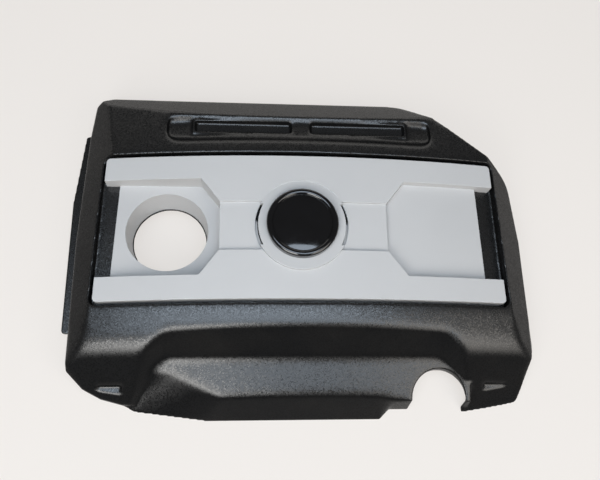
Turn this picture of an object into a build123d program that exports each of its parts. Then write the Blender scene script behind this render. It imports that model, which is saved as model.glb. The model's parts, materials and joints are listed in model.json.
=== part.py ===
# Engine cover: a moulded black shell with a grey trim panel, a round badge and rubber grommets.
# Millimetres. X runs along the cover, Y from front to back, Z up. The rim rests on Z = 0.
import os
from math import asin, cos, degrees, radians, sin, sqrt, tan

from build123d import *

os.makedirs("parts", exist_ok=True)

# Walls and fits
SHELL_WALL = 2.5
PANEL_WALL = 2.5
SEAT_GAP = 0.2
SLIP_GAP = 0.2
GRIP_GAP = 0.05

# Trim panel seen from above, and the height of its face in the middle
PANEL_X = 3
PANEL_Y = 11.5
PANEL_Z = 78
PANEL_DEPTH = 150
PANEL_BACK_LENGTH = 405.6
PANEL_FRONT_LENGTH = 417
PANEL_CORNER = 4
PANEL_TILT = 3
BACK_BAR = 24.5
FRONT_BAR = 24.5
LEFT_NOTCH = 14
RIGHT_NOTCH = 17

# Crown: everything on top bends about an axis along Y, far below
CROWN_RADIUS = 1305
CROWN_X = 2

# Recesses of the panel
FILLER_RECESS_DEPTH = 25
RIGHT_RECESS_DEPTH = 9
RECESS_INNER_X = 85.5
RECESS_CHAMFER_X = 19.5
RECESS_CHAMFER_Y = 25
CHANNEL_DEPTH = 3

# Boss and badge
BOSS_X = 0.6
BOSS_Y = 12.2
BOSS_RADIUS = 47.5
BOSS_RISE = 1
CRESCENT_WIDTH = 3
CRESCENT_HEIGHT = 44
BADGE_RADIUS = 36.3
BADGE_HEIGHT = 8
BADGE_RIM_WIDTH = 6.5
BADGE_RIM_DEPTH = 2.2
BADGE_DOME = 2.5
STEM_RADIUS = 2
STEM_CIRCLE = 22
STEM_COUNT = 3

# Oil filler well
WELL_INSET = 69.1
WELL_TOP_RADIUS = 42
WELL_FOOT_RADIUS = 39.5
WELL_FOOT_Z = 17
COLLAR_LIP = 1.2

# Pocket of the shell that holds the panel
POCKET_GAP = 4
POCKET_DEPTH = 14
TRAY_GAP = 0.5

# Section of the shell along its middle: distances from the panel and drops below its face
FRONT_RIM = 9.5
FRONT_RIM_ROUND = 80
FOOT_ROLL = 43.5
FOOT_ROLL_DROP = 9.5
FOOT_ROLL_ROUND = 40
FOOT_SLOPE = 43.3
BACK_RIM = 5.5
BACK_RIM_ROUND = 40
DECK_SLOPE = 10.5

# Outline of the shell: margins around the panel, then corners as insets from the sides and the ends
LEFT_MARGIN = 26
RIGHT_MARGIN = 31.5
BACK_MARGIN = 86.5
FRONT_MARGIN = 109.5
BACK_LEFT_CORNERS = [(0, 165), (5.5, 46), (10.5, 9), (27.5, 0)]
BACK_RIGHT_CORNERS = [(126, 0), (9, 95), (1, 160)]
FRONT_RIGHT_CORNERS = [(0, 68), (12, 14.5), (72.7, 6)]
FRONT_LEFT_CORNERS = [(53.5, 16), (31.5, 22), (14.5, 31), (0, 47)]
BACK_CORNER_ROUND = 4
DIAGONAL_ROUND = 30
FOOT_SIDE_ROUND = 25
FOOT_CORNER_ROUND = 10

# Side and back bevels: the drop of their lower edges below the panel's face, and their slopes
BEVEL_INSET = 1
BEVEL_DROP = 43
BACK_BEVEL_DROP = 38
LEFT_BEVEL_SLOPE = 45
RIGHT_BEVEL_SLOPE = 40
BACK_BEVEL_SLOPE = 43

# Front recess: its back wall stands on a ledge and is bent over a flatter crown
LEDGE_BACK = 52.5
LEDGE_DROP = 38
LEDGE_SLOPE = 16.4
LEDGE_CROWN_RADIUS = 2500
RECESS_WALL_SLOPE = 49
RECESS_END_TURN = 29
RECESS_END_RISE = 8.6
RECESS_LEFT_INSET = 78.6
RECESS_LEFT_SLOPE = 55
RECESS_LEFT_ROUND = 18
RECESS_RIGHT_INSET = 79.2
RECESS_RIGHT_SLOPE = 52
RECESS_RIGHT_ROUND = 30

# Skirt below the ledge: insets of its corners at the rim and at the ledge, from the sides and the front
SKIRT_RIGHT_RIM = (158.4, 0)
SKIRT_RIGHT_TOP = (163, 22)
SKIRT_STEP_RIM = (148.4, 10)
SKIRT_STEP_TOP = (145, 16.5)
SKIRT_LEFT_RIM = (135.5, 0)
SKIRT_LEFT_TOP = (154.5, 21.4)
SKIRT_FACET_RIM = (64.7, 9.4)
SKIRT_FACET_TOP = (107.5, 51)
SKIRT_END_TOP = (84.5, 52)
SKIRT_OVERLAP = 6
SKIRT_REACH = 83

# Toe steps of the feet
TOE_LEFT_INSET = 42
TOE_RIGHT_INSET = 40
TOE_WIDTH = 24
TOE_FRONT = 25
TOE_DEPTH = 9
TOE_Z = 17

# Pipe notch
NOTCH_RADIUS = 28
NOTCH_REACH = 19
NOTCH_FLANGE_Z = 20

# Back trough and its slots
TROUGH_X = 2
TROUGH_OFFSET = 38
TROUGH_LENGTH = 283
TROUGH_FLOOR = 22
TROUGH_REACH = 19
TROUGH_CORNER = 16
TROUGH_DEPTH = 7
TROUGH_FRONT_BANK = 1.2
TROUGH_BACK_BANK = 0.5
TROUGH_ROUND = 5
SLOT_LENGTH = 103
SLOT_WIDTH = 13
SLOT_PITCH = 123
SLOT_OFFSET = 2
SLOT_CORNER = 2.5

# Flange along the left wall
FLANGE_WIDTH = 11.5
FLANGE_END_WIDTH = 3.5
FLANGE_BACK = 34
FLANGE_BEND = 113
FLANGE_FRONT = 87
FLANGE_Z = 10
FLANGE_THICKNESS = 3
FLANGE_CORNER = 3

# Grommets and their cups, at insets from the sides and the ends
FRONT_CUP_INSETS = (39.5, 45, 81)
REAR_LEFT_CUP_INSET = (39.5, 61)
REAR_RIGHT_CUP_INSET = (83, 69)
CUP_FOOT_Z = 18
CUP_DEPTH = 14
CUP_BORE = 11
CUP_WALL = 2.5
CUP_RIB = 2.5
CUP_RIB_REACH = 18
GROMMET_FLANGE = 3
GROMMET_FLANGE_REACH = 3
GROMMET_LEAD = 1
GROMMET_ROOF = 3
BALL_RADIUS = 5

# Studs of the panel and the push nuts on them
STUD_END_INSET = 38.5
STUD_INNER = 60
STUD_RADIUS = 2
STUD_SEAT = 2
STUD_END = 5
NUT_RADIUS = 6
NUT_COLLAR = 3
NUT_HEIGHT = 2
NUT_STEEL = 0.5

# Foam pad
PAD_X = 107
PAD_LENGTH = 160
PAD_DEPTH = 87
PAD_CORNER = 12
PAD_THICKNESS = 10

# Edges of the panel and the places worked out from it
panel_back = PANEL_Y + PANEL_DEPTH / 2
panel_front = PANEL_Y - PANEL_DEPTH / 2
panel_left = PANEL_X - PANEL_FRONT_LENGTH / 2
panel_right = PANEL_X + PANEL_FRONT_LENGTH / 2
bar_back = panel_back - BACK_BAR
bar_front = panel_front + FRONT_BAR
filler_recess_z = PANEL_Z - FILLER_RECESS_DEPTH
boss_z = PANEL_Z + BOSS_RISE
well_x = panel_left + WELL_INSET
well_y = PANEL_Y

# Edges of the shell's rim
rim_left = panel_left - LEFT_MARGIN
rim_right = panel_right + RIGHT_MARGIN
rim_back = panel_back + BACK_MARGIN
rim_front = panel_front - FRONT_MARGIN

# Reach of the blocks that the forms are cut from, past every face of the cover
reach_low = -PANEL_Z
reach_high = 2 * PANEL_Z
reach_front = rim_front - PANEL_DEPTH / 2
reach_back = rim_back + PANEL_DEPTH / 4
reach_side = 1.1 * max(rim_right - CROWN_X, CROWN_X - rim_left)


def face_z(y):
    """Height of the panel's face at the crown line."""
    return PANEL_Z + tan(radians(PANEL_TILT)) * (y - PANEL_Y)


def crowned(points, radii, grow=0, radius=CROWN_RADIUS):
    """A section of Y and Z points, bent over the crown."""
    sweep = asin(reach_side / (radius - PANEL_Z))
    axis_z = PANEL_Z - radius
    start = Plane(origin=(CROWN_X, 0, axis_z), x_dir=(0, 1, 0), z_dir=(cos(sweep), 0, sin(sweep)))
    with BuildPart() as bent:
        with BuildSketch(start):
            with BuildLine():
                FilletPolyline([(y, z - axis_z) for y, z in points], radius=radii, close=True)
            make_face()
            if grow:
                offset(amount=grow, kind=Kind.INTERSECTION)
        revolve(axis=Axis((CROWN_X, 0, axis_z), (0, 1, 0)), revolution_arc=2 * degrees(sweep))
    return bent.part


def prism(points, radii, low, high, grow=0):
    """An upright block on a rounded outline."""
    with BuildPart() as block:
        with BuildSketch(Plane.XY.offset(low)):
            with BuildLine():
                FilletPolyline(points, radius=radii, close=True)
            make_face()
            if grow:
                offset(amount=grow, kind=Kind.INTERSECTION)
        extrude(amount=high - low)
    return block.part


def above_face(drop):
    """Everything above the panel's face lowered by a drop."""
    front = (reach_front, face_z(reach_front) - drop)
    back = (reach_back, face_z(reach_back) - drop)
    return crowned([front, back, (reach_back, reach_high), (reach_front, reach_high)], [0] * 4)


def panel_end(y, side, inset=0):
    """A point on the left or right end of the panel, which is longer at its front than at its back."""
    share = (y - panel_front) / PANEL_DEPTH
    half = (PANEL_FRONT_LENGTH + (PANEL_BACK_LENGTH - PANEL_FRONT_LENGTH) * share) / 2
    return (PANEL_X + side * (half - inset), y)


# Outline of the panel, with the notches at its ends
back_corners = [panel_end(panel_back, -1), panel_end(panel_back, 1)]
front_corners = [panel_end(panel_front, 1), panel_end(panel_front, -1)]
left_edge = [
    panel_end(bar_front, -1), panel_end(bar_front, -1, LEFT_NOTCH),
    panel_end(bar_back, -1, LEFT_NOTCH), panel_end(bar_back, -1),
]
right_edge = [
    panel_end(bar_back, 1), panel_end(bar_back, 1, RIGHT_NOTCH),
    panel_end(bar_front, 1, RIGHT_NOTCH), panel_end(bar_front, 1),
]
panel_outline = back_corners + right_edge + front_corners + left_edge
panel_radii = [PANEL_CORNER] * 2 + [0] * 4 + [PANEL_CORNER] * 2 + [0] * 4


def end_recess(side):
    """Outline of the recess between the bars at one end, open past the end of the panel."""
    inner = PANEL_X + side * RECESS_INNER_X
    corner = inner + side * RECESS_CHAMFER_X
    outer = PANEL_X + side * PANEL_FRONT_LENGTH
    return [
        (outer, bar_back), (corner, bar_back), (inner, bar_back - RECESS_CHAMFER_Y),
        (inner, bar_front + RECESS_CHAMFER_Y), (corner, bar_front), (outer, bar_front),
    ]


def filler_recess(grow):
    """Space of the left recess, grown on every side."""
    return prism(end_recess(-1), [0] * 6, filler_recess_z - grow, reach_high, grow)


def right_recess(grow):
    """Space of the right recess, grown on every side."""
    return prism(end_recess(1), [0] * 6, 0, reach_high, grow) & above_face(RIGHT_RECESS_DEPTH + grow)


def channel(grow):
    """Space of the channel beside the boss, grown on every side."""
    low = bar_front + RECESS_CHAMFER_Y
    high = bar_back - RECESS_CHAMFER_Y
    left = PANEL_X - RECESS_INNER_X
    right = PANEL_X + RECESS_INNER_X
    outline = [(left, low), (right, low), (right, high), (left, high)]
    return prism(outline, [0] * 4, 0, reach_high, grow) & above_face(CHANNEL_DEPTH + grow)


def panel_form(inset):
    """The panel as a solid block, or its inside when inset by the wall."""
    under = [
        (reach_front, reach_low), (reach_back, reach_low),
        (reach_back, face_z(reach_back) - inset), (reach_front, face_z(reach_front) - inset),
    ]
    down = (Align.CENTER, Align.CENTER, Align.MAX)
    up = (Align.CENTER, Align.CENTER, Align.MIN)
    with BuildPart() as form:
        add(prism(panel_outline, panel_radii, 0, reach_high, -inset))
        add(crowned(under, [0] * 4), mode=Mode.INTERSECT)
        add(filler_recess(inset), mode=Mode.SUBTRACT)
        add(right_recess(inset), mode=Mode.SUBTRACT)
        add(channel(inset), mode=Mode.SUBTRACT)
        with Locations((BOSS_X, BOSS_Y, boss_z - inset)):
            Cylinder(BOSS_RADIUS - inset, reach_high, align=down)
            Cylinder(BOSS_RADIUS + inset, reach_high, align=up, mode=Mode.SUBTRACT)
    return form.part


def corner_points(insets, side_x, end_y):
    """Corners at insets from a left or right side and from a back or front end."""
    sx = 1 if side_x < PANEL_X else -1
    sy = 1 if end_y < PANEL_Y else -1
    return [(side_x + sx * x, end_y + sy * y) for x, y in insets]


# Outline of the shell at its rim
left_side = corner_points(BACK_LEFT_CORNERS, rim_left, rim_back)
diagonal = corner_points(BACK_RIGHT_CORNERS, rim_right, rim_back)
right_foot = corner_points(FRONT_RIGHT_CORNERS, rim_right, rim_front)
left_foot = corner_points(FRONT_LEFT_CORNERS, rim_left, rim_front)
shell_outline = left_side + diagonal + right_foot + left_foot
left_radii = [0, 0, BACK_CORNER_ROUND, BACK_CORNER_ROUND]
right_radii = [DIAGONAL_ROUND, DIAGONAL_ROUND, 0, FOOT_SIDE_ROUND, FOOT_CORNER_ROUND, 0]
shell_radii = left_radii + right_radii + [0] * len(left_foot)
recess_right = right_foot[-1][0]

# Places along the middle section of the shell
front_rim_y = panel_front - FRONT_RIM
foot_roll_y = panel_front - FOOT_ROLL
foot_roll_z = PANEL_Z - FOOT_ROLL_DROP
back_rim_y = panel_back + BACK_RIM
ledge_back_y = panel_front - LEDGE_BACK
ledge_back_z = PANEL_Z - LEDGE_DROP
section_toe = foot_roll_y - (foot_roll_z - reach_low) / tan(radians(FOOT_SLOPE))


def deck_z(y):
    """Height of the deck behind the panel at the crown line."""
    return face_z(back_rim_y) - tan(radians(DECK_SLOPE)) * (y - back_rim_y)


def ledge_z(y):
    """Height of the ledge at the crown line."""
    return ledge_back_z - tan(radians(LEDGE_SLOPE)) * (ledge_back_y - y)


def facing(x, y, slope):
    """Direction that a sloping face looks in, towards x and y and up."""
    s = radians(slope)
    reach = sqrt(x * x + y * y)
    return Vector(x / reach * sin(s), y / reach * sin(s), cos(s))


# Bevels: a point on each and the way it faces
bend_x, bend_y = left_side[0]
lean_x, lean_y = left_side[1]
left_point = Vector(bend_x + BEVEL_INSET, bend_y, PANEL_Z - BEVEL_DROP)
right_point = Vector(rim_right - BEVEL_INSET, bend_y, PANEL_Z - BEVEL_DROP)
back_point = Vector(CROWN_X, rim_back - BEVEL_INSET, PANEL_Z - BACK_BEVEL_DROP)
bevels = [
    (left_point, facing(-1, 0, LEFT_BEVEL_SLOPE)),
    (left_point, facing(bend_y - lean_y, lean_x - bend_x, LEFT_BEVEL_SLOPE)),
    (right_point, facing(1, 0, RIGHT_BEVEL_SLOPE)),
    (back_point, facing(0, 1, BACK_BEVEL_SLOPE)),
]

# Ends of the front recess: a point on each end wall and the way it faces
turn = radians(RECESS_END_TURN)
end_z = ledge_back_z + RECESS_END_RISE
recess_ends = [
    (Vector(rim_left + RECESS_LEFT_INSET, ledge_back_y, end_z), facing(sin(turn), -cos(turn), RECESS_LEFT_SLOPE)),
    (Vector(rim_right - RECESS_RIGHT_INSET, ledge_back_y, end_z), facing(-sin(turn), -cos(turn), RECESS_RIGHT_SLOPE)),
]


def upper_body(inset):
    """The shell without its front recess, as a solid block or as its inside."""
    section = [
        (section_toe, reach_low), (foot_roll_y, foot_roll_z), (front_rim_y, face_z(front_rim_y)),
        (back_rim_y, face_z(back_rim_y)), (reach_back, deck_z(reach_back)), (reach_back, reach_low),
    ]
    radii = [0, FOOT_ROLL_ROUND, FRONT_RIM_ROUND, BACK_RIM_ROUND, 0, 0]
    with BuildPart() as body:
        add(prism(shell_outline, shell_radii, 0, reach_high, -inset))
        add(crowned(section, radii, -inset), mode=Mode.INTERSECT)
        for point, normal in bevels:
            split(bisect_by=Plane(point - normal * inset, z_dir=normal), keep=Keep.BOTTOM)
    return body.part


def front_space(grow):
    """The space between the feet behind the skirt, cut right down through the front."""
    wall_run = (reach_high - reach_low) / tan(radians(RECESS_WALL_SLOPE))
    wall_low = ledge_back_y - (ledge_back_z - reach_low) / tan(radians(RECESS_WALL_SLOPE))
    section = [
        (reach_front, reach_low), (wall_low, reach_low), (wall_low + wall_run, reach_high), (reach_front, reach_high),
    ]
    with BuildPart() as space:
        add(crowned(section, [0] * 4, grow, LEDGE_CROWN_RADIUS))
        for point, normal in recess_ends:
            split(bisect_by=Plane(point - normal * grow, z_dir=normal), keep=Keep.TOP)
        split(bisect_by=Plane.YZ.offset(recess_right + grow), keep=Keep.BOTTOM)
    return space.part


def skirt_point(inset, side_x):
    """One corner of the skirt from its inset."""
    return corner_points([inset], side_x, rim_front)[0]


# Corners of the skirt: each pair is a point of its rim and the point of the ledge above it
overlap_x = recess_right + SKIRT_OVERLAP
behind_y = rim_front + SKIRT_REACH
end_rim = left_foot[0]
end_top = skirt_point(SKIRT_END_TOP, rim_left)
step_rim = skirt_point(SKIRT_STEP_RIM, rim_right)
step_top = skirt_point(SKIRT_STEP_TOP, rim_right)
skirt_corners = [
    ((overlap_x, step_rim[1]), (overlap_x, step_top[1])),
    (step_rim, step_top),
    (skirt_point(SKIRT_RIGHT_RIM, rim_right), skirt_point(SKIRT_RIGHT_TOP, rim_right)),
    (skirt_point(SKIRT_LEFT_RIM, rim_left), skirt_point(SKIRT_LEFT_TOP, rim_left)),
    (skirt_point(SKIRT_FACET_RIM, rim_left), skirt_point(SKIRT_FACET_TOP, rim_left)),
    (end_rim, end_top),
    ((end_rim[0], behind_y), (end_top[0], behind_y)),
    ((overlap_x, behind_y), (overlap_x, behind_y)),
]


def skirt_block(inset):
    """The ledge and the skirt as a solid block or as its inside."""
    below_ledge = [
        (reach_front, reach_low), (ledge_back_y + LEDGE_BACK, reach_low),
        (ledge_back_y + LEDGE_BACK, ledge_z(ledge_back_y + LEDGE_BACK)), (reach_front, ledge_z(reach_front)),
    ]
    rims = [rim for rim, top in skirt_corners]
    raised = []
    for (rim_x, rim_y), (top_x, top_y) in skirt_corners:
        stretch = ledge_back_z / ledge_z(top_y)
        raised.append((rim_x + (top_x - rim_x) * stretch, rim_y + (top_y - rim_y) * stretch))
    with BuildPart() as block:
        for height, corners in ((0, rims), (ledge_back_z, raised)):
            with BuildSketch(Plane.XY.offset(height)):
                with BuildLine():
                    Polyline(corners, close=True)
                make_face()
                if inset:
                    offset(amount=-inset, kind=Kind.INTERSECTION)
        loft(ruled=True)
        add(crowned(below_ledge, [0] * 4, -inset, LEDGE_CROWN_RADIUS), mode=Mode.INTERSECT)
    return block.part


def pocket(grow):
    """The space that takes the panel, with the deeper tray under its filler recess."""
    frame = prism(back_corners + front_corners, [PANEL_CORNER] * 4, 0, reach_high, POCKET_GAP + grow)
    reach = PANEL_WALL + TRAY_GAP + grow
    tray = prism(end_recess(-1), [0] * 6, filler_recess_z - reach, reach_high, reach)
    return (frame & above_face(POCKET_DEPTH + grow)) + (frame & tray)


trough_y = panel_back + TROUGH_OFFSET


def trough(grow):
    """The shallow trough behind the panel, a groove bent over the crown and closed at its ends."""
    front = trough_y - TROUGH_FLOOR / 2
    back = trough_y + TROUGH_FLOOR / 2
    rise = reach_high - PANEL_Z
    section = [
        (front, deck_z(front) - TROUGH_DEPTH), (back, deck_z(back) - TROUGH_DEPTH),
        (back + rise * TROUGH_BACK_BANK, reach_high), (front - rise * TROUGH_FRONT_BANK, reach_high),
    ]
    groove = crowned(section, [TROUGH_ROUND, TROUGH_ROUND, 0, 0], grow)
    left = TROUGH_X - TROUGH_LENGTH / 2
    right = TROUGH_X + TROUGH_LENGTH / 2
    low = trough_y - TROUGH_REACH
    high = trough_y + TROUGH_REACH
    ends = prism([(left, low), (right, low), (right, high), (left, high)], [TROUGH_CORNER] * 4, 0, reach_high, grow)
    return groove & ends


def notch(grow, low):
    """The U-shaped opening for a pipe, open to the front."""
    radius = NOTCH_RADIUS + grow
    with BuildPart() as space:
        with BuildSketch(Plane.XY.offset(low)):
            with Locations((recess_right - NOTCH_RADIUS, rim_front + NOTCH_REACH)):
                Circle(radius)
                Rectangle(2 * radius, PANEL_DEPTH, align=(Align.CENTER, Align.MAX))
        extrude(amount=reach_high - low)
    return space.part


def toe_steps(grow):
    """Small level steps cut in the slopes of the two feet."""
    front_y = rim_front + TOE_FRONT - grow
    with BuildPart() as steps:
        for x in (rim_left + TOE_LEFT_INSET, rim_right - TOE_RIGHT_INSET):
            with Locations((x, front_y, TOE_Z - grow)):
                Box(TOE_WIDTH + 2 * grow, TOE_DEPTH + 2 * grow, reach_high, align=(Align.CENTER, Align.MIN, Align.MIN))
    return steps.part


def shell_form(inset):
    """The whole shell as a solid block, or its inside when inset by the wall."""
    notch_low = NOTCH_FLANGE_Z if inset else reach_low
    with BuildPart() as form:
        add(upper_body(inset))
        add(front_space(inset), mode=Mode.SUBTRACT)
        add(skirt_block(inset))
        add(pocket(inset), mode=Mode.SUBTRACT)
        add(trough(inset), mode=Mode.SUBTRACT)
        add(notch(inset, notch_low), mode=Mode.SUBTRACT)
        add(toe_steps(inset), mode=Mode.SUBTRACT)
    return form.part


def crown_z(x, y):
    """Height of the panel's face anywhere on it."""
    axis_z = PANEL_Z - CROWN_RADIUS
    return axis_z + sqrt((face_z(y) - axis_z) ** 2 - (x - CROWN_X) ** 2)


# Fastening places
stud_outer = PANEL_FRONT_LENGTH / 2 - STUD_END_INSET
stud_rows = [panel_back - BACK_BAR / 2, panel_front + FRONT_BAR / 2]
stud_places = [(PANEL_X + x, y) for y in stud_rows for x in (-stud_outer, -STUD_INNER, STUD_INNER, stud_outer)]
stem_places = PolarLocations(STEM_CIRCLE, STEM_COUNT).local_locations
tray_floor = filler_recess_z - PANEL_WALL - TRAY_GAP
cup_left, cup_right, cup_front = FRONT_CUP_INSETS
cup_places = {
    "front_left": corner_points([(cup_left, cup_front)], rim_left, rim_front)[0],
    "front_right": corner_points([(cup_right, cup_front)], rim_right, rim_front)[0],
    "rear_left": corner_points([REAR_LEFT_CUP_INSET], rim_left, rim_back)[0],
    "rear_right": corner_points([REAR_RIGHT_CUP_INSET], rim_right, rim_back)[0],
}
slot_y = trough_y + SLOT_OFFSET
cup_top = CUP_FOOT_Z + CUP_DEPTH + CUP_WALL


def seat_z(x, y):
    """Height of the flat seat under the pocket floor where a push nut sits."""
    return crown_z(x, y) - POCKET_DEPTH - SHELL_WALL - STUD_SEAT


def turned(x, y, points):
    """A ring turned about an upright line, from points of radius and height."""
    with BuildPart() as ring:
        with BuildSketch(Plane(origin=(x, y, 0), x_dir=(1, 0, 0), z_dir=(0, -1, 0))):
            with BuildLine():
                Polyline(points, close=True)
            make_face()
        revolve(axis=Axis((x, y, 0), (0, 0, 1)))
    return ring.part


# Shell
shell_outer = shell_form(0)
shell_inner = shell_form(SHELL_WALL)
collar_top = WELL_TOP_RADIUS + PANEL_WALL + SLIP_GAP
collar_foot = WELL_FOOT_RADIUS + PANEL_WALL + SLIP_GAP
collar_z = WELL_FOOT_Z - SLIP_GAP
collar = turned(well_x, well_y, [
    (collar_top, tray_floor), (collar_foot, collar_z), (WELL_FOOT_RADIUS - COLLAR_LIP, collar_z),
    (WELL_FOOT_RADIUS - COLLAR_LIP, collar_z - SHELL_WALL), (collar_foot + SHELL_WALL, collar_z - SHELL_WALL),
    (collar_top + SHELL_WALL, tray_floor - SHELL_WALL), (collar_top + SHELL_WALL, tray_floor),
])

# Grommet cups, hung from crossed ribs
with BuildPart() as cups:
    for x, y in cup_places.values():
        with Locations((x, y, CUP_FOOT_Z)):
            Cylinder(CUP_BORE + CUP_WALL, cup_top - CUP_FOOT_Z, align=(Align.CENTER, Align.CENTER, Align.MIN))
        with Locations((x, y, CUP_FOOT_Z + CUP_DEPTH)):
            Box(2 * CUP_RIB_REACH, CUP_RIB, reach_high, align=(Align.CENTER, Align.CENTER, Align.MIN))
            Box(CUP_RIB, 2 * CUP_RIB_REACH, reach_high, align=(Align.CENTER, Align.CENTER, Align.MIN))
    add(shell_outer, mode=Mode.INTERSECT)

# Flange along the left wall
flange_left = rim_left - FLANGE_WIDTH
flange_front = rim_front + FLANGE_FRONT
flange_back = rim_back - FLANGE_BACK
flange_outline = [
    (bend_x + SHELL_WALL, flange_front), (flange_left, flange_front), (flange_left, rim_back - FLANGE_BEND),
    (rim_left - FLANGE_END_WIDTH, flange_back), (lean_x + SHELL_WALL, flange_back),
]
flange_radii = [0, FLANGE_CORNER, 0, FLANGE_CORNER, 0]
flange = prism(flange_outline, flange_radii, FLANGE_Z, FLANGE_Z + FLANGE_THICKNESS)

with BuildPart() as cover_shell:
    add(shell_outer)
    add(shell_inner, mode=Mode.SUBTRACT)
    add(flange)
    add(cups.part)
    with Locations([(x, y, CUP_FOOT_Z) for x, y in cup_places.values()]):
        Cylinder(CUP_BORE, CUP_DEPTH, align=(Align.CENTER, Align.CENTER, Align.MIN), mode=Mode.SUBTRACT)
    with Locations((well_x, well_y, tray_floor)):
        Cylinder(collar_top, 4 * SHELL_WALL, mode=Mode.SUBTRACT)
    add(collar)
    for x, y in stud_places:
        with Locations((x, y, seat_z(x, y))):
            Cylinder(NUT_RADIUS, STUD_SEAT + SHELL_WALL, align=(Align.CENTER, Align.CENTER, Align.MIN))
            Cylinder(STUD_RADIUS + SLIP_GAP, 4 * STUD_SEAT + SHELL_WALL, mode=Mode.SUBTRACT,
                     align=(Align.CENTER, Align.CENTER, Align.MIN))
    with BuildSketch(Plane.XY.offset(PANEL_Z)):
        with Locations((TROUGH_X - SLOT_PITCH / 2, slot_y), (TROUGH_X + SLOT_PITCH / 2, slot_y)):
            RectangleRounded(SLOT_LENGTH, SLOT_WIDTH, SLOT_CORNER)
    extrude(amount=PANEL_Z / 2, both=True, mode=Mode.SUBTRACT)
cover_shell.part.label = "cover_shell"

# Trim panel
panel_outer = panel_form(0)
panel_inner = panel_form(PANEL_WALL)
panel_keep = above_face(POCKET_DEPTH - SEAT_GAP)
tray_keep = prism(end_recess(-1), [0] * 6, filler_recess_z - PANEL_WALL, reach_high, PANEL_WALL)
well = turned(well_x, well_y, [
    (WELL_TOP_RADIUS, filler_recess_z), (WELL_FOOT_RADIUS, WELL_FOOT_Z),
    (WELL_FOOT_RADIUS + PANEL_WALL, WELL_FOOT_Z), (WELL_TOP_RADIUS + PANEL_WALL, filler_recess_z),
])

with BuildPart() as centre_panel:
    add(panel_outer)
    add(panel_inner, mode=Mode.SUBTRACT)
    add(panel_keep + tray_keep, mode=Mode.INTERSECT)
    with Locations((well_x, well_y, filler_recess_z)):
        Cylinder(WELL_TOP_RADIUS, 4 * PANEL_WALL, mode=Mode.SUBTRACT)
    add(well)
    for side in (-1, 1):
        with BuildSketch(Plane.XY.offset(boss_z)):
            with Locations((BOSS_X, BOSS_Y)):
                Circle(BOSS_RADIUS)
                Rectangle(2 * BOSS_RADIUS, CRESCENT_HEIGHT, mode=Mode.INTERSECT)
            with Locations((BOSS_X - side * CRESCENT_WIDTH, BOSS_Y)):
                Circle(BOSS_RADIUS, mode=Mode.SUBTRACT)
        extrude(amount=POCKET_DEPTH / 2, both=True, mode=Mode.SUBTRACT)
    with Locations((BOSS_X, BOSS_Y, boss_z)):
        with PolarLocations(STEM_CIRCLE, STEM_COUNT):
            Cylinder(STEM_RADIUS + SLIP_GAP, 4 * PANEL_WALL, mode=Mode.SUBTRACT)
    for x, y in stud_places:
        low = seat_z(x, y) - STUD_END
        with Locations((x, y, low)):
            Cylinder(STUD_RADIUS, crown_z(x, y) - PANEL_WALL / 2 - low, align=(Align.CENTER, Align.CENTER, Align.MIN))
centre_panel.part.label = "centre_panel"

# Badge: a disc with a rounded rim and a domed field, on three stems
field_radius = BADGE_RADIUS - BADGE_RIM_WIDTH
field_z = boss_z + BADGE_HEIGHT - BADGE_RIM_DEPTH
rim_middle = (BADGE_RADIUS - BADGE_RIM_WIDTH / 2, boss_z + BADGE_HEIGHT)
with BuildPart() as badge:
    with BuildSketch(Plane(origin=(BOSS_X, BOSS_Y, 0), x_dir=(1, 0, 0), z_dir=(0, -1, 0))):
        with BuildLine():
            Polyline((0, field_z + BADGE_DOME), (0, boss_z), (BADGE_RADIUS, boss_z), (BADGE_RADIUS, field_z))
            ThreePointArc((BADGE_RADIUS, field_z), rim_middle, (field_radius, field_z))
            TangentArc((0, field_z + BADGE_DOME), (field_radius, field_z), tangent=(1, 0))
        make_face()
    revolve(axis=Axis((BOSS_X, BOSS_Y, 0), (0, 0, 1)))
    with Locations((BOSS_X, BOSS_Y, boss_z)):
        with PolarLocations(STEM_CIRCLE, STEM_COUNT):
            Cylinder(STEM_RADIUS, PANEL_WALL + STUD_END, align=(Align.CENTER, Align.CENTER, Align.MAX))
badge.part.label = "badge"


def push_nut(x, y, z, hole):
    """A pressed steel nut under a seat, with a raised middle that grips the stud."""
    return turned(x, y, [
        (hole, z - NUT_HEIGHT), (NUT_COLLAR, z - NUT_HEIGHT), (NUT_COLLAR + NUT_STEEL, z - NUT_STEEL),
        (NUT_RADIUS, z - NUT_STEEL), (NUT_RADIUS, z), (NUT_COLLAR, z), (hole, z - NUT_HEIGHT + NUT_STEEL),
    ])


with BuildPart() as panel_push_nuts:
    for x, y in stud_places:
        add(push_nut(x, y, seat_z(x, y), STUD_RADIUS + GRIP_GAP))
panel_push_nuts.part.label = "panel_push_nuts"

with BuildPart() as badge_push_nuts:
    for place in stem_places:
        stem = place.position
        add(push_nut(BOSS_X + stem.X, BOSS_Y + stem.Y, boss_z - PANEL_WALL, STEM_RADIUS + GRIP_GAP))
badge_push_nuts.part.label = "badge_push_nuts"

# Foam pad under the pocket floor
pad_top = POCKET_DEPTH + SHELL_WALL + SEAT_GAP
pad_left = PANEL_X + PAD_X - PAD_LENGTH / 2
pad_right = PANEL_X + PAD_X + PAD_LENGTH / 2
pad_front = PANEL_Y - PAD_DEPTH / 2
pad_back = PANEL_Y + PAD_DEPTH / 2
pad_outline = [(pad_left, pad_front), (pad_right, pad_front), (pad_right, pad_back), (pad_left, pad_back)]
with BuildPart() as foam_pad:
    add(prism(pad_outline, [PAD_CORNER] * 4, 0, reach_high))
    add(above_face(pad_top + PAD_THICKNESS), mode=Mode.INTERSECT)
    add(above_face(pad_top), mode=Mode.SUBTRACT)
foam_pad.part.label = "foam_pad"

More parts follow.
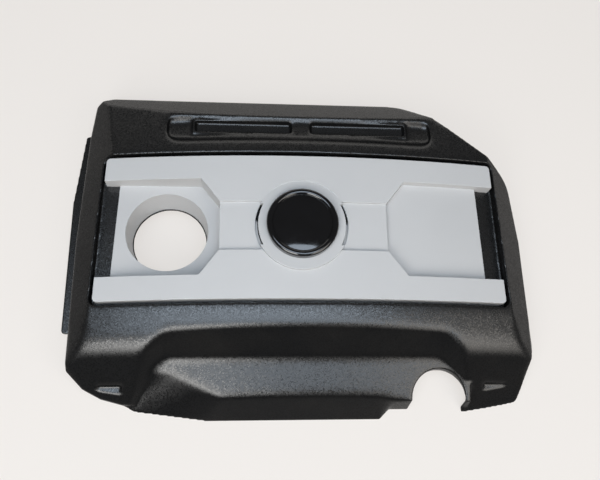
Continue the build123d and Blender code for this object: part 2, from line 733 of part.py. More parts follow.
# Grommets
flange_radius = CUP_BORE + GROMMET_FLANGE_REACH
grommet_foot = CUP_FOOT_Z - SEAT_GAP
grommet_top = CUP_FOOT_Z + CUP_DEPTH - SEAT_GAP
grommets = []
for corner, (x, y) in cup_places.items():
    with BuildPart() as grommet:
        add(turned(x, y, [
            (BALL_RADIUS + GROMMET_LEAD, grommet_foot - GROMMET_FLANGE), (flange_radius, grommet_foot - GROMMET_FLANGE),
            (flange_radius, grommet_foot), (CUP_BORE - SLIP_GAP, grommet_foot), (CUP_BORE - SLIP_GAP, grommet_top),
            (0, grommet_top), (0, grommet_top - GROMMET_ROOF), (BALL_RADIUS, grommet_top - GROMMET_ROOF),
            (BALL_RADIUS, grommet_foot - GROMMET_FLANGE + GROMMET_LEAD),
        ]))
    grommet.part.label = "grommet_" + corner
    grommets.append(grommet)

for piece in [cover_shell, centre_panel, badge, panel_push_nuts, badge_push_nuts, foam_pad] + grommets:
    export_step(piece.part, "parts/" + piece.part.label + ".step")
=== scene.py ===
# Dressed scene of a moulded engine cover, laid out as an add-on and run as a script.
import json
from math import cos, pi, radians, sin, sqrt, tan

import bmesh
import bpy
import numpy as np
from bpy.props import FloatProperty, FloatVectorProperty, IntProperty, PointerProperty
from bpy.types import Operator, Panel, PropertyGroup
from mathutils import Matrix, Vector, noise
from mathutils.bvhtree import BVHTree


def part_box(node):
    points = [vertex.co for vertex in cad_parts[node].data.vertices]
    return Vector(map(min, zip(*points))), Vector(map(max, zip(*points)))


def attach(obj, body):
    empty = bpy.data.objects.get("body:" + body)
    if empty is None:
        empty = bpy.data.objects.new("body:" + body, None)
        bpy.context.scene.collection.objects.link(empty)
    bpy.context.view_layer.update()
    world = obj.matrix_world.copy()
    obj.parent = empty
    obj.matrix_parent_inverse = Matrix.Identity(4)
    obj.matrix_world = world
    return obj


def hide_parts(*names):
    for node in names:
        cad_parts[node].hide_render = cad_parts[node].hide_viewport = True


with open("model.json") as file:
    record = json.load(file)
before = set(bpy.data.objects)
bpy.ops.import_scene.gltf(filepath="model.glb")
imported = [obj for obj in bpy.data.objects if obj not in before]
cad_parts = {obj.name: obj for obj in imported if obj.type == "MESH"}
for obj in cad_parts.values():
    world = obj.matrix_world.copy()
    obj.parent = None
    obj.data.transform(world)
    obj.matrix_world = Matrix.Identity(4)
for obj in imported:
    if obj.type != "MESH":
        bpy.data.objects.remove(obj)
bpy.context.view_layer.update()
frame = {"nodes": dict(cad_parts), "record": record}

bl_info = {
    "name": "Engine cover",
    "version": (1, 0, 0),
    "blender": (4, 5, 0),
    "location": "3D View > Sidebar > Engine cover",
    "description": "Finishes the moulded engine cover, its trim panel, badge, grommets and foam pad",
    "category": "Object",
}


def colour(name, description, default):
    """A colour that a user may change."""
    return FloatVectorProperty(name=name, description=description, default=default, size=3, min=0, max=1,
                               subtype="COLOR")


def length(name, description, default):
    """A length that a user may change, in metres."""
    return FloatProperty(name=name, description=description, default=default, min=0, precision=5,
                         unit="LENGTH", subtype="DISTANCE")


def share(name, description, default):
    """A share between nothing and the whole."""
    return FloatProperty(name=name, description=description, default=default, min=0, max=1, subtype="FACTOR")


class ShellFinish(PropertyGroup):
    """Grained black plastic of the shell."""

    base: colour("Plastic", "Colour of the black plastic", (0.0062, 0.0062, 0.0064))
    dust: colour("Dust", "Colour of the thin dust on the plastic", (0.013, 0.012, 0.011))
    roughness: share("Roughness", "Roughness of the moulded grain", 0.31)
    grain: length("Grain", "Size of the pebbles of the moulded grain", 0.0010)
    grain_tilt: share("Grain tilt", "How far the pebbles lean at random", 0.05)
    grain_depth: length("Grain depth", "Depth of the fine texture between the pebbles", 0.00003)
    crease: length("Crease round", "Radius that softens the creases", 0.0015)


class ShellForm(PropertyGroup):
    """Soft form of the shell's mesh."""

    cell: length("Cell", "Size of the even cells of the mesh", 0.0010)
    triangles: IntProperty(name="Triangles", description="Triangles that the mesh keeps",
                           default=180000, min=1000)
    soft_steps: IntProperty(name="Soft steps", description="Steps of rolling the creases", default=100, min=0)
    soft_side: share("Side softness", "How much the side creases roll beside the front", 0.15)
    soft_trough: share("Trough softness", "How much the trough at the back rolls beside the front", 0.6)
    soft_least: share("Least softness", "How much every edge rolls", 0.04)
    # Floors and walls under the slots: dark plastic that stands in for the shade under the cover
    slot_spare: length("Slot spare", "Clearance of a slot's stated space at its ends", 0.003)
    slot_wall: length("Slot wall", "Wall of the slots", 0.002)
    slot_depth: length("Slot depth", "Depth of the slots under the shell's inner face", 0.005)


class PanelFinish(PropertyGroup):
    """Satin grey plastic of the trim panel."""

    base: colour("Plastic", "Colour of the grey plastic", (0.536, 0.530, 0.524))
    shade: colour("Shade", "Colour of the slightly darker patches", (0.519, 0.514, 0.509))
    # Lighter, cooler colour along the thin edges: light wear and a painted highlight on the edges
    edge_wear_and_highlight: colour("Edge", "Colour of the thin edges", (0.60, 0.625, 0.64))
    roughness: share("Roughness", "Roughness of the satin face", 0.5)
    grain: length("Grain", "Size of the fine texture", 0.0007)
    crease: length("Crease round", "Radius that softens the creases", 0.0009)


class BadgeFinish(PropertyGroup):
    """Gloss black plastic of the badge."""

    base: colour("Plastic", "Colour of the gloss plastic", (0.0035, 0.0035, 0.004))
    roughness: share("Roughness", "Roughness of the polished face", 0.07)
    ripple: length("Ripple", "Width of the faint moulding ripple", 0.018)


class FastenerFinish(PropertyGroup):
    """Pressed spring steel of the push nuts."""

    steel: colour("Steel", "Colour of the zinc coat", (0.56, 0.55, 0.52))
    tarnish: colour("Tarnish", "Colour of the dull patches", (0.36, 0.34, 0.30))
    roughness: share("Roughness", "Roughness of the coat", 0.34)


class GrommetFinish(PropertyGroup):
    """Soft black rubber of the grommets."""

    base: colour("Rubber", "Colour of the rubber", (0.016, 0.016, 0.016))
    bloom: colour("Bloom", "Colour of the pale bloom on old rubber", (0.045, 0.043, 0.040))
    roughness: share("Roughness", "Roughness of the rubber", 0.62)


class FoamPad(PropertyGroup):
    """Open foam pad glued under the pocket."""

    base: colour("Foam", "Colour of the foam", (0.050, 0.050, 0.054))
    # Darker colour inside the pores: painted shade in the pore hollows
    pore: colour("Pores", "Colour inside the pores", (0.012, 0.012, 0.013))
    round: length("Edge round", "Radius of the pressed edges", 0.0032)
    corner: length("Corner", "Radius of the corners seen from above", 0.012)
    inset: length("Inset", "Gap left round the edge of the space for the pad", 0.0004)
    dimple: length("Dimple", "Depth of the uneven skin", 0.00035)
    rings: IntProperty(name="Rings", description="Rings of cells from the edge to the middle",
                       default=22, min=6)


class StageSetup(PropertyGroup):
    """Floor, lights and camera."""

    floor: colour("Floor", "Colour of the pale floor", (0.865, 0.828, 0.792))
    floor_reach: length("Floor reach", "Half the width of the floor", 6.0)
    floor_glow: share("Floor glow", "Share of the floor's own pale colour that is seen", 0.75)
    air: colour("Air", "Colour of the light from all round", (1.0, 0.965, 0.93))
    air_level: share("Air level", "Strength of the light from all round", 0.08)
    lens: FloatProperty(name="Lens", description="Focal length", default=42, min=1, unit="CAMERA")
    distance: length("Distance", "From the camera to the point it looks at", 0.700)
    azimuth: FloatProperty(name="Azimuth", description="Turn of the view round the cover",
                           default=radians(-14.27), unit="ROTATION")
    elevation: FloatProperty(name="Elevation", description="Height of the view over the floor",
                             default=radians(70), unit="ROTATION")
    roll: FloatProperty(name="Roll", description="Turn of the picture",
                        default=radians(14.06), unit="ROTATION")
    target: FloatVectorProperty(name="Target", description="Point the camera looks at", size=3,
                                default=(-0.00203, -0.00456, 0.0780), subtype="TRANSLATION", unit="LENGTH")


class CoverSettings(PropertyGroup):
    """All that a user may change on the cover."""

    form: PointerProperty(type=ShellForm, name="Shell form", description="Soft form of the shell")
    shell: PointerProperty(type=ShellFinish, name="Shell", description="Finish of the shell")
    panel: PointerProperty(type=PanelFinish, name="Panel", description="Finish of the trim panel")
    badge: PointerProperty(type=BadgeFinish, name="Badge", description="Finish of the badge")
    fasteners: PointerProperty(type=FastenerFinish, name="Push nuts", description="Finish of the push nuts")
    grommets: PointerProperty(type=GrommetFinish, name="Grommets", description="Finish of the grommets")
    foam: PointerProperty(type=FoamPad, name="Foam pad", description="Shape and finish of the foam pad")
    stage: PointerProperty(type=StageSetup, name="Stage", description="Floor, lights and camera")


class Finish:
    """A node material that is put together step by step."""

    def __init__(self, name):
        self.material = bpy.data.materials.new(name)
        self.material.use_nodes = True
        self.tree = self.material.node_tree
        self.shader = self.tree.nodes["Principled BSDF"]
        self.coordinates = self.tree.nodes.new("ShaderNodeTexCoord")
        self.place = self.coordinates.outputs["Object"]

    def link(self, source, target):
        self.tree.links.new(source, target)

    def add(self, kind, **settings):
        node = self.tree.nodes.new(kind)
        for key, value in settings.items():
            setattr(node, key, value)
        return node

    def noise(self, size, detail=2.0, roughness=0.5):
        """Cloudy values with patches of a size in metres."""
        node = self.add("ShaderNodeTexNoise")
        node.inputs["Scale"].default_value = 1 / size
        node.inputs["Detail"].default_value = detail
        node.inputs["Roughness"].default_value = roughness
        self.link(self.place, node.inputs["Vector"])
        return node.outputs["Fac"]

    def cells(self, size, feature="F1"):
        """Rounded cells of a size in metres."""
        node = self.add("ShaderNodeTexVoronoi", feature=feature)
        node.inputs["Scale"].default_value = 1 / size
        self.link(self.place, node.inputs["Vector"])
        return node.outputs["Distance"]

    def ramp(self, value, low, high, from_low=0.0, from_high=1.0):
        """Values moved from one range to another."""
        node = self.add("ShaderNodeMapRange")
        node.inputs["From Min"].default_value = from_low
        node.inputs["From Max"].default_value = from_high
        node.inputs["To Min"].default_value = low
        node.inputs["To Max"].default_value = high
        self.link(value, node.inputs["Value"])
        return node.outputs["Result"]

    def mix(self, fac, first, second):
        """A colour between two, each a colour or the output of another mix."""
        node = self.add("ShaderNodeMix", data_type="RGBA")
        self.link(fac, node.inputs["Factor"])
        for socket, value in ((node.inputs[6], first), (node.inputs[7], second)):
            if isinstance(value, bpy.types.NodeSocket):
                self.link(value, socket)
            else:
                socket.default_value = (*value, 1)
        return node.outputs[2]

    def soft_normal(self, radius):
        """Normals with the creases rounded off."""
        node = self.add("ShaderNodeBevel", samples=8)
        node.inputs["Radius"].default_value = radius
        return node.outputs["Normal"]

    def edge_mask(self, soft, gain):
        """Where the rounded normal leaves the true one: along the edges."""
        true = self.add("ShaderNodeNewGeometry").outputs["Normal"]
        dot = self.add("ShaderNodeVectorMath", operation="DOT_PRODUCT")
        self.link(soft, dot.inputs[0])
        self.link(true, dot.inputs[1])
        return self.ramp(dot.outputs["Value"], 0.0, 1.0, 1.0, 1.0 - 1.0 / gain)

    def facets(self, size, tilt, normal):
        """Normals tilted at random from grain to grain, and a random share for each grain."""
        node = self.add("ShaderNodeTexVoronoi")
        node.inputs["Scale"].default_value = 1 / size
        self.link(self.place, node.inputs["Vector"])
        lean = self.add("ShaderNodeVectorMath", operation="MULTIPLY_ADD")
        lean.inputs[1].default_value = [2 * tilt] * 3
        lean.inputs[2].default_value = [-tilt] * 3
        self.link(node.outputs["Color"], lean.inputs[0])
        total = self.add("ShaderNodeVectorMath", operation="ADD")
        self.link(lean.outputs["Vector"], total.inputs[0])
        self.link(normal, total.inputs[1])
        unit = self.add("ShaderNodeVectorMath", operation="NORMALIZE")
        self.link(total.outputs["Vector"], unit.inputs[0])
        split = self.add("ShaderNodeSeparateColor")
        self.link(node.outputs["Color"], split.inputs["Color"])
        return unit.outputs["Vector"], split.outputs["Green"]

    def steepness(self):
        """How far the surface leans from level: nothing on top, the whole on an upright wall."""
        split = self.add("ShaderNodeSeparateXYZ")
        self.link(self.coordinates.outputs["Normal"], split.inputs["Vector"])
        return self.ramp(split.outputs["Z"], 1.0, 0.0)

    def bump(self, height, depth, strength=1.0, normal=None):
        """A relief of a depth in metres."""
        node = self.add("ShaderNodeBump")
        node.inputs["Strength"].default_value = strength
        node.inputs["Distance"].default_value = depth
        self.link(height, node.inputs["Height"])
        if normal is not None:
            self.link(normal, node.inputs["Normal"])
        return node.outputs["Normal"]

    def set(self, **values):
        """Values or outputs for the shader's own sockets, with spaces written as underscores."""
        for key, value in values.items():
            socket = self.shader.inputs[key.replace("_", " ")]
            if isinstance(value, bpy.types.NodeSocket):
                self.link(value, socket)
            else:
                socket.default_value = value


def dress(node, material):
    """Gives a node of the frame its finish."""
    mesh = frame["nodes"][node].data
    mesh.materials.clear()
    mesh.materials.append(material)


# Openings of the record that look dark; the shell closes each with a dark floor and walls that stand in for
# the shade under the cover seen through it
SLOTS = ("left_slot", "right_slot")

# Where the shell starts to roll and where it rolls in full: heights and distances in metres
RIM_HEIGHTS = 0.014, 0.032
PANEL_MARGINS = 0.006, 0.018
NOTCH_MARGINS = 0.012, 0.022
SLOT_MARGINS = 0.0005, 0.0035
TROUGH_MARGINS = 0.044, 0.056
FRONT_REACHES = 0.078, 0.092
# The same for how far a face looks up, and the share of the way that one step of rolling goes
UPWARD_SHARES = 0.05, 0.30
STEP_SHARE = 0.5

# Specular level of the black plastic on level and on steep faces, and the leans between them
GLOSS_LEVELS = 0.5, 0.06
GLOSS_LEANS = 0.10, 0.26


def opening(name):
    """Lowest and highest corner of an opening that the record states."""
    for space in frame["record"]["physics"]["openings"]:
        if space["name"] == name:
            return [Vector(corner) for corner in space["box_m"]]
    raise RuntimeError("the record has no opening called " + name)


def rise(values, low, high):
    """A soft step from 0 at the low value to 1 at the high one."""
    share_of = np.clip((values - low) / (high - low), 0, 1)
    return share_of * share_of * (3 - 2 * share_of)


def outside(points, low, high):
    """How far points lie outside a box, seen from above."""
    across = np.maximum(low.x - points[:, 0], points[:, 0] - high.x)
    along = np.maximum(low.y - points[:, 1], points[:, 1] - high.y)
    return np.maximum(across, along)


class ENGINECOVER_OT_shell(Operator):
    """Model the shell with its soft rolls and blind slots, whose dark floors stand in for the shade under the
    cover, and finish it in grained black plastic
    """

    bl_idname = "engine_cover.shell"
    bl_label = "Model shell"

    def execute(self, context):
        form = context.scene.engine_cover.form
        shell = bpy.data.objects.new("cover_shell_piece", self.slots_with_shade_floors(form))
        context.scene.collection.objects.link(shell)
        self.remake(shell, "REMESH", mode="VOXEL", voxel_size=form.cell)
        self.soften(shell.data, form)
        cells = len(shell.data.polygons)
        self.remake(shell, "DECIMATE", ratio=min(1.0, form.triangles / (2 * cells)))
        shell.data.shade_smooth()
        shell.data.materials.clear()
        shell.data.materials.append(self.finish(context.scene.engine_cover.shell))
        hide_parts("cover_shell")
        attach(shell, "root")
        return {"FINISHED"}

    def slots_with_shade_floors(self, form):
        """The solid's own mesh, with a floor and walls under each slot: dark plastic that stands in for the
        shade under the cover.
        """
        solid = frame["nodes"]["cover_shell"].data
        tree = BVHTree.FromPolygons([v.co for v in solid.vertices], [p.vertices for p in solid.polygons])
        shape = bmesh.new()
        shape.from_mesh(solid)
        for name in SLOTS:
            low, high = opening(name)
            spare = Vector((form.slot_spare, form.slot_spare / 2, 0))
            low, high = low - spare, high + spare
            roof = self.roof(tree, low, high, form.slot_wall)
            floor = roof - form.slot_depth
            wall = form.slot_wall
            middle = (low + high) / 2
            reach_x, reach_y = (high.x - low.x) / 2 + wall, (high.y - low.y) / 2 + wall
            # The floor and walls close the slot in the shell's dark plastic, standing in for the shade under
            # the cover
            self.block(shape, (middle.x - reach_x, middle.y - reach_y, floor - wall),
                       (middle.x + reach_x, middle.y + reach_y, floor))
            for side in (-1, 1):
                x, y = middle.x + side * (reach_x - wall / 2), middle.y + side * (reach_y - wall / 2)
                self.block(shape, (x - wall / 2, middle.y - reach_y, floor - wall),
                           (x + wall / 2, middle.y + reach_y, roof))
                self.block(shape, (middle.x - reach_x, y - wall / 2, floor - wall),
                           (middle.x + reach_x, y + wall / 2, roof))
        mesh = bpy.data.meshes.new("cover_shell_piece")
        shape.to_mesh(mesh)
        shape.free()
        return mesh

    def roof(self, tree, low, high, wall):
        """Height of the shell's inner face round a slot."""
        heights = []
        for x in (low.x - wall, (low.x + high.x) / 2, high.x + wall):
            for y in (low.y - wall, high.y + wall):
                hit = tree.ray_cast(Vector((x, y, 0.0)), Vector((0, 0, 1)))[0]
                if hit is None:
                    raise RuntimeError("the shell has no inner face at %.4f, %.4f" % (x, y))
                heights.append(hit.z)
        return max(heights) + wall / 4

    def block(self, shape, low, high):
        """A plain closed block between two corners."""
        low, high = Vector(low), Vector(high)
        size = high - low
        place = Matrix.Translation((low + high) / 2) @ Matrix.Diagonal((*size, 1))
        bmesh.ops.create_cube(shape, size=1, matrix=place)

    def remake(self, shell, kind, **settings):
        """Applies one modifier to the piece."""
        modifier = shell.modifiers.new(kind.lower(), kind)
        for key, value in settings.items():
            setattr(modifier, key, value)
        graph = bpy.context.evaluated_depsgraph_get()
        mesh = bpy.data.meshes.new_from_object(shell.evaluated_get(graph))
        shell.modifiers.clear()
        shell.data = mesh

    def soften(self, mesh, form):
        """Rolls the creases: most at the front, a little at the sides, hardly at fits, slots and rims."""
        count = len(mesh.vertices)
        points = np.empty(count * 3)
        normals = np.empty(count * 3)
        mesh.vertices.foreach_get("co", points)
        mesh.vertex_normals.foreach_get("vector", normals)
        points, normals = points.reshape(-1, 3), normals.reshape(-1, 3)
        ends = np.empty(len(mesh.edges) * 2, dtype=np.int32)
        mesh.edges.foreach_get("vertices", ends)
        first, second = ends[0::2], ends[1::2]
        weight = self.softness(points, normals, form)[:, None]
        shared = np.bincount(first, minlength=count) + np.bincount(second, minlength=count)
        shared = np.maximum(shared, 1)[:, None]
        for _ in range(form.soft_steps):
            total = np.empty_like(points)
            for axis in range(3):
                total[:, axis] = np.bincount(first, points[second, axis], minlength=count)
                total[:, axis] += np.bincount(second, points[first, axis], minlength=count)
            points = points + STEP_SHARE * weight * (total / shared - points)
        mesh.vertices.foreach_set("co", points.ravel())
        mesh.update()

    def softness(self, points, normals, form):
        """How much each point of the mesh gives way."""
        panel_low, panel_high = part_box("centre_panel")
        notch_low, notch_high = opening("pipe_notch")
        slots = np.minimum(*(outside(points, *opening(name)) for name in SLOTS))
        upper = rise(normals[:, 2], *UPWARD_SHARES)
        rim = rise(points[:, 2], *RIM_HEIGHTS)
        pocket = rise(outside(points, panel_low, panel_high), *PANEL_MARGINS)
        notch = rise(outside(points, notch_low, notch_high), *NOTCH_MARGINS)
        front = rise(-points[:, 1], *FRONT_REACHES)
        trough = form.soft_trough * (1 - rise(slots, *TROUGH_MARGINS))
        share_of = np.maximum(form.soft_side + (1 - form.soft_side) * front, trough)
        share_of = share_of * rise(slots, *SLOT_MARGINS)
        return form.soft_least + (1 - form.soft_least) * upper * rim * pocket * notch * share_of

    def finish(self, look):
        finish = Finish("grained_black_plastic")
        soft = finish.soft_normal(look.crease)
        dusty = finish.ramp(finish.noise(0.07, 4.0, 0.6), 0.0, 0.55, 0.45, 0.75)
        tone = finish.mix(dusty, look.base, look.dust)
        facet, spark = finish.facets(look.grain, look.grain_tilt, soft)
        fine = finish.noise(look.grain * 0.5, 2.0, 0.6)
        relief = finish.bump(fine, look.grain_depth, 1.0, facet)
        rough = finish.ramp(spark, look.roughness - 0.08, look.roughness + 0.08)
        gloss = finish.ramp(finish.steepness(), *GLOSS_LEVELS, *GLOSS_LEANS)
        finish.set(Base_Color=tone, Roughness=rough, Normal=relief, IOR=1.68, Specular_IOR_Level=gloss)
        return finish.material


class ENGINECOVER_OT_panel(Operator):
    """Finish the trim panel in satin grey plastic"""

    bl_idname = "engine_cover.panel"
    bl_label = "Finish trim panel"

    def execute(self, context):
        look = context.scene.engine_cover.panel
        finish = Finish("satin_grey_plastic")
        soft = finish.soft_normal(look.crease)
        # Along the thin edges the colour turns lighter and cooler: light wear and a painted edge highlight
        edge = finish.edge_mask(soft, 3.0)
        patch = finish.ramp(finish.noise(0.09, 3.0, 0.55), 0.0, 1.0, 0.35, 0.7)
        tone = finish.mix(patch, look.base, look.shade)
        tone = finish.mix(edge, tone, look.edge_wear_and_highlight)
        fine = finish.noise(look.grain, 2.0, 0.6)
        rough = finish.ramp(fine, look.roughness - 0.05, look.roughness + 0.05, 0.25, 0.75)
        finish.set(Base_Color=tone, Roughness=rough, Normal=finish.bump(fine, 0.00003, 0.5, soft), IOR=1.46)
        dress("centre_panel", finish.material)
        return {"FINISHED"}


class ENGINECOVER_OT_badge(Operator):
    """Finish the badge in gloss black plastic"""

    bl_idname = "engine_cover.badge"
    bl_label = "Finish badge"

    def execute(self, context):
        look = context.scene.engine_cover.badge
        finish = Finish("gloss_black_plastic")
        soft = finish.soft_normal(0.0006)
        ripple = finish.noise(look.ripple, 1.0, 0.4)
        smear = finish.noise(0.011, 4.0, 0.65)
        rough = finish.ramp(smear, look.roughness - 0.03, look.roughness + 0.05, 0.3, 0.75)
        tone = finish.mix(ripple, look.base, [1.6 * channel for channel in look.base])
        relief = finish.bump(ripple, 0.0002, 0.25, soft)
        finish.set(Base_Color=tone, Roughness=rough, Normal=relief, IOR=1.52, Coat_Weight=0.6,
                   Coat_Roughness=0.03)
        dress("badge", finish.material)
        return {"FINISHED"}


class ENGINECOVER_OT_fasteners(Operator):
    """Finish the push nuts in zinc-coated spring steel"""

    bl_idname = "engine_cover.fasteners"
    bl_label = "Finish push nuts"

    def execute(self, context):
        look = context.scene.engine_cover.fasteners
        finish = Finish("zinc_coated_steel")
        soft = finish.soft_normal(0.0002)
        patch = finish.ramp(finish.noise(0.004, 4.0, 0.65), 0.0, 1.0, 0.4, 0.7)
        tone = finish.mix(patch, look.steel, look.tarnish)
        scratch = finish.noise(0.0004, 3.0, 0.7)
        rough = finish.ramp(scratch, look.roughness - 0.08, look.roughness + 0.14, 0.25, 0.75)
        relief = finish.bump(scratch, 0.00002, 0.4, soft)
        finish.set(Base_Color=tone, Metallic=1.0, Roughness=rough, Normal=relief)
        for node in ("panel_push_nuts", "badge_push_nuts"):
            dress(node, finish.material)
        return {"FINISHED"}


class ENGINECOVER_OT_grommets(Operator):
    """Finish the four grommets in soft rubber"""

    bl_idname = "engine_cover.grommets"
    bl_label = "Finish grommets"

    def execute(self, context):
        look = context.scene.engine_cover.grommets
        finish = Finish("soft_black_rubber")
        soft = finish.soft_normal(0.0008)
        bloom = finish.ramp(finish.noise(0.006, 4.0, 0.6), 0.0, 0.7, 0.45, 0.75)
        tone = finish.mix(bloom, look.base, look.bloom)
        skin = finish.noise(0.0006, 3.0, 0.6)
        rough = finish.ramp(skin, look.roughness - 0.06, look.roughness + 0.08, 0.25, 0.75)
        finish.set(Base_Color=tone, Roughness=rough, Normal=finish.bump(skin, 0.00006, 0.6, soft))
        for node in frame["nodes"]:
            if node.startswith("grommet_"):
                dress(node, finish.material)
        return {"FINISHED"}


# Arc steps of a pad corner, spacing of the points round the pad, and widths of the dimples in its skin
CORNER_STEPS = 6
OUTLINE_SPACING = 0.004
BROAD_DIMPLE = 0.022
SMALL_DIMPLE = 0.005


def pad_outline(half_x, half_y, corner, steps):
    """Points round a rectangle with rounded corners, about its middle."""
    points = []
    for quarter, (sx, sy) in enumerate(((1, 1), (-1, 1), (-1, -1), (1, -1))):
        for step in range(steps + 1):
            turn = pi / 2 * (quarter + step / steps)
            points.append(Vector((sx * (half_x - corner) + corner * cos(turn),
                                  sy * (half_y - corner) + corner * sin(turn))))
    smooth = []
    for first, second in zip(points, points[1:] + points[:1]):
        count = max(1, round((second - first).length / OUTLINE_SPACING))
        smooth.extend(first.lerp(second, k / count) for k in range(count))
    return smooth


def edge_distance(point, half_x, half_y, corner):
    """How far a point lies inside that outline."""
    over_x = abs(point.x) - half_x + corner
    over_y = abs(point.y) - half_y + corner
    beyond = Vector((max(over_x, 0), max(over_y, 0))).length
    return corner - beyond - min(max(over_x, over_y), 0)


class ENGINECOVER_OT_foam_pad(Operator):
    """Model the foam pad that is glued under the pocket"""

    bl_idname = "engine_cover.foam_pad"
    bl_label = "Model foam pad"

    def execute(self, context):
        look = context.scene.engine_cover.foam
        pad = bpy.data.objects.new("foam_pad_piece", self.model(look))
        pad.data.materials.append(self.finish(look))
        context.scene.collection.objects.link(pad)
        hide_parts("foam_pad")
        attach(pad, "root")
        return {"FINISHED"}

    def heights(self, look):
        """The lower and upper skin of the plain solid, read from straight below and above."""
        solid = frame["nodes"]["foam_pad"].data
        tree = BVHTree.FromPolygons([v.co for v in solid.vertices], [p.vertices for p in solid.polygons])
        low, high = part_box("foam_pad")

        def at(x, y):
            up = tree.ray_cast(Vector((x, y, low.z - look.corner)), Vector((0, 0, 1)))[0]
            down = tree.ray_cast(Vector((x, y, high.z + look.corner)), Vector((0, 0, -1)))[0]
            if up is None or down is None:
                raise RuntimeError("the foam pad's solid has no skin at %.4f, %.4f" % (x, y))
            return up.z, down.z
        return at

    def model(self, look):
        """Rings from the edge to the middle, on both skins, with pressed edges and an uneven lower skin."""
        low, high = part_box("foam_pad")
        middle = (low + high) / 2
        half_x = (high.x - low.x) / 2 - look.inset
        half_y = (high.y - low.y) / 2 - look.inset
        outline = pad_outline(half_x, half_y, look.corner, CORNER_STEPS)
        skin = self.heights(look)
        shape = bmesh.new()
        shares = [1 - (ring / look.rings) ** 2 for ring in range(look.rings)]
        skins = []
        for side in (0, 1):
            rings = []
            for part in shares:
                ring = []
                for corner in outline:
                    place = corner * part
                    x, y = middle.x + place.x, middle.y + place.y
                    bottom, top = skin(x, y)
                    depth = edge_distance(place, half_x, half_y, look.corner)
                    if side:
                        z = top - self.press(depth, look.round / 3)
                    else:
                        z = bottom + self.press(depth, look.round) + self.dimple(look, x, y)
                    ring.append(shape.verts.new((x, y, z)))
                rings.append(ring)
            bottom, top = skin(middle.x, middle.y)
            centre = shape.verts.new((middle.x, middle.y, top if side else bottom + look.dimple))
            skins.append((rings, centre))
        count = len(outline)
        for rings, centre in skins:
            for outer, inner in zip(rings, rings[1:]):
                for k in range(count):
                    shape.faces.new((outer[k], outer[(k + 1) % count], inner[(k + 1) % count], inner[k]))
            for k in range(count):
                shape.faces.new((rings[-1][k], rings[-1][(k + 1) % count], centre))
        for k in range(count):
            under, over = skins[0][0][0], skins[1][0][0]
            shape.faces.new((under[k], under[(k + 1) % count], over[(k + 1) % count], over[k]))
        bmesh.ops.recalc_face_normals(shape, faces=shape.faces[:])
        mesh = bpy.data.meshes.new("foam_pad_piece")
        shape.to_mesh(mesh)
        shape.free()
        mesh.shade_smooth()
        return mesh

    def press(self, depth, radius):
        """How far a rounded edge draws the skin in at a depth from the edge."""
        if depth >= radius:
            return 0.0
        return radius - sqrt(max(radius ** 2 - (radius - depth) ** 2, 0.0))

    def dimple(self, look, x, y):
        """How far the uneven skin lies inside the plain one."""
        broad = noise.noise(Vector((x, y, 0.0)) / BROAD_DIMPLE)
        small = noise.noise(Vector((x, y, 0.5)) / SMALL_DIMPLE)
        return look.dimple * (1.0 + 0.65 * broad + 0.35 * small)

    def finish(self, look):
        finish = Finish("open_foam")
        pore = finish.cells(0.0011)
        cloud = finish.noise(0.02, 3.0, 0.6)
        # Darker at the middle of each cell, where the bump dips: painted shade in the pore hollows
        pore_shade_mask = finish.ramp(pore, 1.0, 0.0, 0.08, 0.5)
        tone = finish.mix(pore_shade_mask, look.base, look.pore)
        pale = finish.ramp(cloud, 0.0, 0.35, 0.4, 0.7)
        tone = finish.mix(pale, tone, [1.5 * channel for channel in look.base])
        finish.set(Base_Color=tone, Roughness=0.93, Normal=finish.bump(pore, 0.0006, 0.9), Sheen_Weight=0.25,
                   Sheen_Roughness=0.6)
        return finish.material


# Lamps: lean from upright to the right and to the front in degrees, width and depth, brightness, tint
LAMPS = {
    "ceiling_lamp": ((-6, 6), (1.40, 0.48), 4.9, (0.74, 0.86, 1.0)),
    "front_lamp": ((3, 25), (0.97, 0.42), 2.7, (0.72, 0.85, 1.0)),
    "left_lamp": ((-30, 48), (0.80, 0.88), 5.8, (1.0, 0.99, 0.97)),
    "right_lamp": ((42, 40), (0.75, 1.35), 2.6, (1.0, 0.95, 0.89)),
    "back_lamp": ((0, -72), (1.8, 0.4), 1.0, (1.0, 0.97, 0.93)),
}
LAMP_DISTANCE = 1.5
LAMP_AIM = Vector((0.0, 0.0, 0.05))


def soft_lamp(name, lean, size, level, tint):
    """A soft rectangular lamp; its level is the brightness of its face."""
    lamp = bpy.data.lights.new(name, "AREA")
    lamp.shape = "RECTANGLE"
    lamp.size, lamp.size_y = size
    lamp.energy = pi * size[0] * size[1] * level
    lamp.color = tint
    holder = bpy.data.objects.new(name, lamp)
    to_right, to_front = (tan(radians(angle)) for angle in lean)
    back = Vector((to_right, -to_front, 1)).normalized()
    side = Vector((1, 0, 0))
    side = (side - back * side.dot(back)).normalized()
    turn = Matrix((side, back.cross(side), back)).transposed().to_4x4()
    holder.matrix_world = Matrix.Translation(LAMP_AIM + back * LAMP_DISTANCE) @ turn
    bpy.context.scene.collection.objects.link(holder)


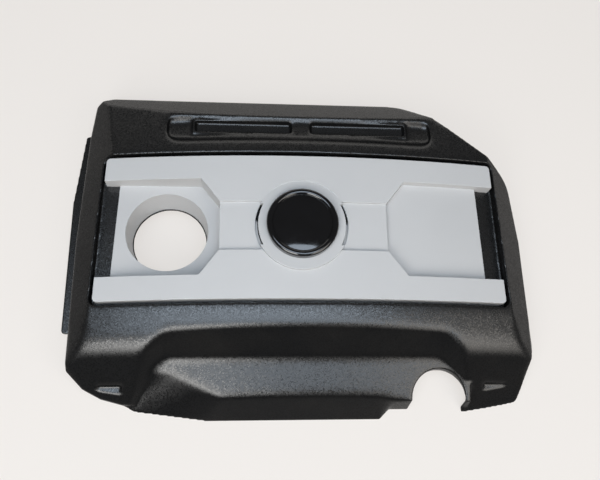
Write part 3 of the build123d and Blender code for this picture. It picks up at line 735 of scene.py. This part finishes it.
class ENGINECOVER_OT_stage(Operator):
    """Lay the pale floor, hang the soft lamps and place the camera"""

    bl_idname = "engine_cover.stage"
    bl_label = "Set stage"

    def execute(self, context):
        setup = context.scene.engine_cover.stage
        self.lay_floor(setup)
        self.hang_lamps(context.scene, setup)
        self.place_camera(context.scene, setup)
        context.scene.view_settings.view_transform = "Standard"
        return {"FINISHED"}

    def lay_floor(self, setup):
        shape = bmesh.new()
        bmesh.ops.create_grid(shape, x_segments=2, y_segments=2, size=setup.floor_reach)
        mesh = bpy.data.meshes.new("pale_floor")
        shape.to_mesh(mesh)
        shape.free()
        floor = bpy.data.objects.new("pale_floor", mesh)
        bpy.context.scene.collection.objects.link(floor)
        finish = Finish("pale_floor")
        cloud = finish.noise(0.6, 2.0, 0.5)
        tone = finish.mix(cloud, setup.floor, [0.97 * channel for channel in setup.floor])
        finish.set(Base_Color=tone, Roughness=0.7, Specular_IOR_Level=0.2)
        glow = finish.add("ShaderNodeEmission")
        glow.inputs["Color"].default_value = (*setup.floor, 1)
        path = finish.add("ShaderNodeLightPath")
        rays = path.outputs["Is Camera Ray"]
        for kind in ("Is Glossy Ray", "Is Transmission Ray"):
            either = finish.add("ShaderNodeMath", operation="MAXIMUM")
            finish.link(rays, either.inputs[0])
            finish.link(path.outputs[kind], either.inputs[1])
            rays = either.outputs[0]
        seen = finish.add("ShaderNodeMath", operation="MULTIPLY")
        seen.inputs[1].default_value = setup.floor_glow
        finish.link(rays, seen.inputs[0])
        both = finish.add("ShaderNodeMixShader")
        finish.link(seen.outputs[0], both.inputs["Fac"])
        finish.link(finish.shader.outputs["BSDF"], both.inputs[1])
        finish.link(glow.outputs["Emission"], both.inputs[2])
        finish.link(both.outputs["Shader"], finish.tree.nodes["Material Output"].inputs["Surface"])
        mesh.materials.append(finish.material)

    def hang_lamps(self, scene, setup):
        world = bpy.data.worlds.new("pale_room")
        world.use_nodes = True
        air = world.node_tree.nodes["Background"]
        air.inputs["Color"].default_value = (*setup.air, 1)
        air.inputs["Strength"].default_value = setup.air_level
        scene.world = world
        for name, (lean, size, level, tint) in LAMPS.items():
            soft_lamp(name, lean, size, level, tint)

    def place_camera(self, scene, setup):
        a, e, r = setup.azimuth, setup.elevation, setup.roll
        back = Vector((sin(a) * cos(e), -cos(a) * cos(e), sin(e)))
        level = Vector((cos(a), sin(a), 0.0))
        rise = back.cross(level)
        right = cos(r) * level + sin(r) * rise
        up = -sin(r) * level + cos(r) * rise
        lens = bpy.data.cameras.new("photo_camera")
        lens.sensor_fit = "HORIZONTAL"
        lens.sensor_width = 36
        lens.lens = setup.lens
        lens.clip_start = 0.01
        camera = bpy.data.objects.new("photo_camera", lens)
        turn = Matrix((right, up, back)).transposed().to_4x4()
        camera.matrix_world = Matrix.Translation(Vector(setup.target) + back * setup.distance) @ turn
        scene.collection.objects.link(camera)
        scene.camera = camera


STEPS = (
    ENGINECOVER_OT_shell, ENGINECOVER_OT_panel, ENGINECOVER_OT_badge, ENGINECOVER_OT_fasteners,
    ENGINECOVER_OT_grommets, ENGINECOVER_OT_foam_pad, ENGINECOVER_OT_stage,
)


class ENGINECOVER_PT_pieces(Panel):
    """Pieces of the engine cover, in the order they are made"""

    bl_idname = "ENGINECOVER_PT_pieces"
    bl_label = "Engine cover"
    bl_space_type = "VIEW_3D"
    bl_region_type = "UI"
    bl_category = "Engine cover"

    def draw(self, context):
        for step in STEPS:
            self.layout.operator(step.bl_idname)


CLASSES = (
    ShellForm, ShellFinish, PanelFinish, BadgeFinish, FastenerFinish, GrommetFinish, FoamPad, StageSetup,
    CoverSettings, *STEPS, ENGINECOVER_PT_pieces,
)


def register():
    for kind in CLASSES:
        bpy.utils.register_class(kind)
    bpy.types.Scene.engine_cover = PointerProperty(type=CoverSettings)


def unregister():
    del bpy.types.Scene.engine_cover
    for kind in reversed(CLASSES):
        bpy.utils.unregister_class(kind)


def main():
    register()
    bpy.ops.engine_cover.shell()
    bpy.ops.engine_cover.panel()
    bpy.ops.engine_cover.badge()
    bpy.ops.engine_cover.fasteners()
    bpy.ops.engine_cover.grommets()
    bpy.ops.engine_cover.foam_pad()
    bpy.ops.engine_cover.stage()


if __name__ == "__main__":
    main()
